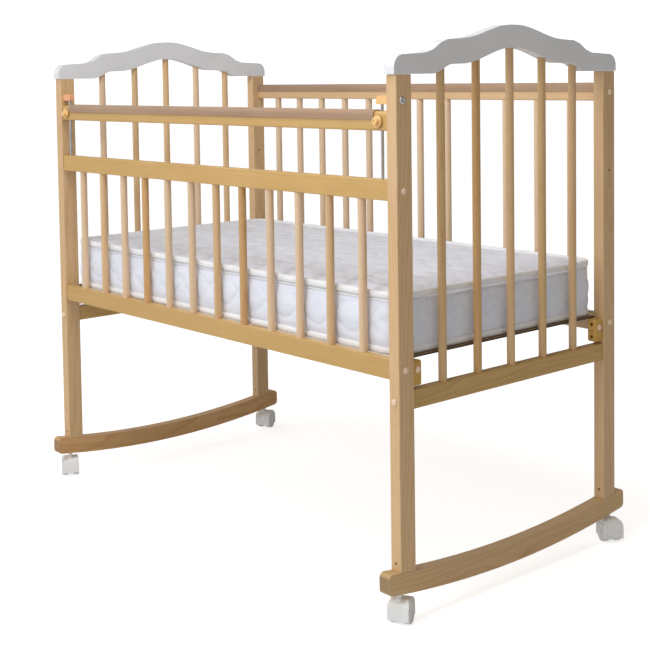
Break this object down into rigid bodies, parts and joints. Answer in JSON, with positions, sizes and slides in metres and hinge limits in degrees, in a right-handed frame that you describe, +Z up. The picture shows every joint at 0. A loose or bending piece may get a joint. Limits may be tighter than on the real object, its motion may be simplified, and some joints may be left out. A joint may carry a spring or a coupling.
{
  "type": "baby crib",
  "caption": "Rocking baby crib with barred sides, wavy painted end rails, a sliding drop rail on steel rods, slatted base, mattress and swivel casters.",
  "frame": {"origin": "centre of the bounding box at the floor under the casters", "axes": "+X along the crib's length, +Y towards the fixed rear side (the drop side faces -Y), +Z up"},
  "size_m": [1.3134, 0.7442, 1.1513],
  "materials": {
    "birch": "clear satin lacquer",
    "white_paint": "white semi-gloss paint",
    "vinyl_cap": "soft taupe vinyl",
    "amber_plastic": "amber moulded plastic",
    "ochre_plastic": "ochre moulded plastic",
    "steel_rod": "plated steel",
    "caster_white": "white moulded plastic",
    "caster_wheel": "white moulded wheel",
    "ticking": "quilted white ticking",
    "plywood": "plain plywood"
  },
  "bodies": {
    "frame": {"post_front_left": "birch", "post_front_right": "birch", "post_rear_left": "birch", "post_rear_right": "birch", "arch_rail_left": "white_paint", "arch_rail_right": "white_paint", "end_rail_left": "birch", "end_rail_right": "birch", "spindle_left_1": "birch", "spindle_left_2": "birch", "spindle_left_3": "birch", "spindle_left_4": "birch", "spindle_left_5": "birch", "spindle_right_1": "birch", "spindle_right_2": "birch", "spindle_right_3": "birch", "spindle_right_4": "birch", "spindle_right_5": "birch", "rocker_left": "birch", "rocker_right": "birch", "middle_rail_front": "birch", "bottom_rail_front": "birch", "bar_front_01": "birch", "bar_front_02": "birch", "bar_front_03": "birch", "bar_front_04": "birch", "bar_front_05": "birch", "bar_front_06": "birch", "bar_front_07": "birch", "bar_front_08": "birch", "bar_front_09": "birch", "bar_front_10": "birch", "bar_front_11": "birch", "bar_front_12": "birch", "guide_rod_left": "steel_rod", "guide_rod_right": "steel_rod", "rod_holder_left": "amber_plastic", "rod_holder_right": "amber_plastic", "grille_rear": "birch", "top_rail_rear": "birch", "cover_rear": "vinyl_cap", "bracket_front_left": "ochre_plastic", "bracket_front_right": "ochre_plastic", "bracket_rear_left": "ochre_plastic", "bracket_rear_right": "ochre_plastic", "slatted_base": "plywood"},
    "drop_side": {"drop_rail": "birch", "cover_front": "vinyl_cap"},
    "latch_left": {"latch_knob_left": "amber_plastic"},
    "latch_right": {"latch_knob_right": "amber_plastic"},
    "bedding": {"mattress": "ticking"},
    "caster_front_right": {"caster_hood_front_right": "caster_white"},
    "wheels_front_right": {"caster_wheels_front_right": "caster_wheel"},
    "caster_rear_right": {"caster_hood_rear_right": "caster_white"},
    "wheels_rear_right": {"caster_wheels_rear_right": "caster_wheel"},
    "caster_front_left": {"caster_hood_front_left": "caster_white"},
    "wheels_front_left": {"caster_wheels_front_left": "caster_wheel"},
    "caster_rear_left": {"caster_hood_rear_left": "caster_white"},
    "wheels_rear_left": {"caster_wheels_rear_left": "caster_wheel"}
  },
  "joints": [
    {"name": "drop_rail_slide", "type": "slide", "parent": "frame", "child": "drop_side", "axis": [0, 0, 1], "range_m": [-0.085, 0]},
    {"name": "latch_left_pull", "type": "slide", "parent": "drop_side", "child": "latch_left", "axis": [0, -1, 0], "range_m": [0, 0.005], "stiffness_N_per_m": 300},
    {"name": "latch_right_pull", "type": "slide", "parent": "drop_side", "child": "latch_right", "axis": [0, -1, 0], "range_m": [0, 0.005], "stiffness_N_per_m": 300},
    {"name": "mattress_lift_out", "type": "slide", "parent": "frame", "child": "bedding", "axis": [0, 0, 1], "range_m": [0, 0.6]},
    {"name": "swivel_front_right", "type": "hinge", "parent": "frame", "child": "caster_front_right", "pos_m": [0.6165, -0.332, 0.05], "axis": [0, 0, 1], "continuous": true},
    {"name": "roll_front_right", "type": "hinge", "parent": "caster_front_right", "child": "wheels_front_right", "pos_m": [0.61165, -0.32325, 0.0205], "axis": [-0.8746, -0.4848, 0], "continuous": true},
    {"name": "swivel_rear_right", "type": "hinge", "parent": "frame", "child": "caster_rear_right", "pos_m": [0.6165, 0.332, 0.05], "axis": [0, 0, 1], "continuous": true},
    {"name": "roll_rear_right", "type": "hinge", "parent": "caster_rear_right", "child": "wheels_rear_right", "pos_m": [0.62533, 0.32731, 0.0205], "axis": [0.4695, 0.8829, 0], "continuous": true},
    {"name": "swivel_front_left", "type": "hinge", "parent": "frame", "child": "caster_front_left", "pos_m": [-0.6165, -0.332, 0.05], "axis": [0, 0, 1], "continuous": true},
    {"name": "roll_front_left", "type": "hinge", "parent": "caster_front_left", "child": "wheels_front_left", "pos_m": [-0.62533, -0.32731, 0.0205], "axis": [-0.4695, -0.8829, 0], "continuous": true},
    {"name": "swivel_rear_left", "type": "hinge", "parent": "frame", "child": "caster_rear_left", "pos_m": [-0.6165, 0.332, 0.05], "axis": [0, 0, 1], "continuous": true},
    {"name": "roll_rear_left", "type": "hinge", "parent": "caster_rear_left", "child": "wheels_rear_left", "pos_m": [-0.6212, 0.34083, 0.0205], "axis": [-0.8829, -0.4695, 0], "continuous": true}
  ]
}
